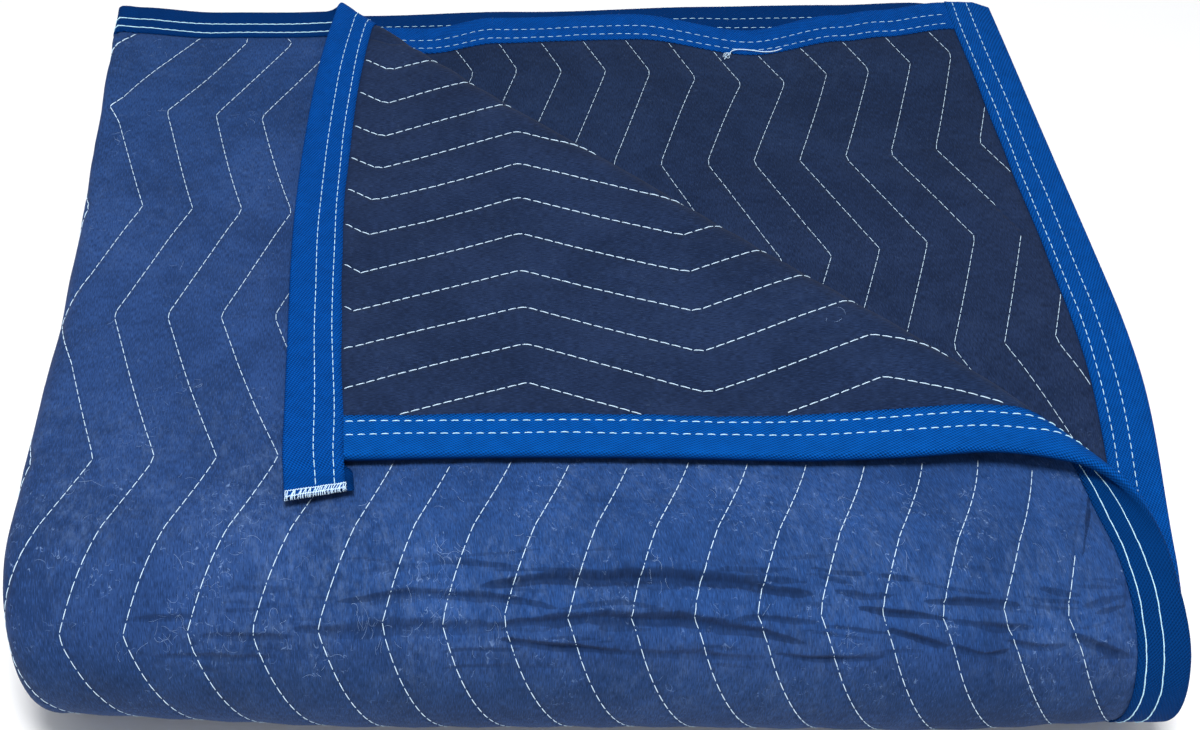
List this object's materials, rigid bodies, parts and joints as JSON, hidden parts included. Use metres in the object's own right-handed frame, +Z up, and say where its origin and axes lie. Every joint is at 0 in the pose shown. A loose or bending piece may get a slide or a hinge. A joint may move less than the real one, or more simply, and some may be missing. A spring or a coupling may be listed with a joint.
{
  "type": "folded quilted moving blanket",
  "caption": "Quilted moving blanket folded in four each way into a flat bundle, blue side out, with the top ply's corner turned back to show its navy side.",
  "frame": {"origin": "middle of the bundle's outline, on the face it rests on", "axes": "+X across the bundle towards the bound free edge, +Y towards the back edges, so the round fold is at -Y, +Z up"},
  "size_m": [0.5186, 0.4526, 0.1289],
  "materials": {
    "quilt": "matt non-woven fabric, medium blue on one side and navy on the other, stitched through in white zigzag lines",
    "binding": "bright blue woven tape with two rows of white stitches"
  },
  "bodies": {
    "root": {"quilt": "quilt", "binding_back": "binding", "binding_right": "binding", "binding_far": "binding", "binding_inner": "binding"}
  },
  "joints": []
}
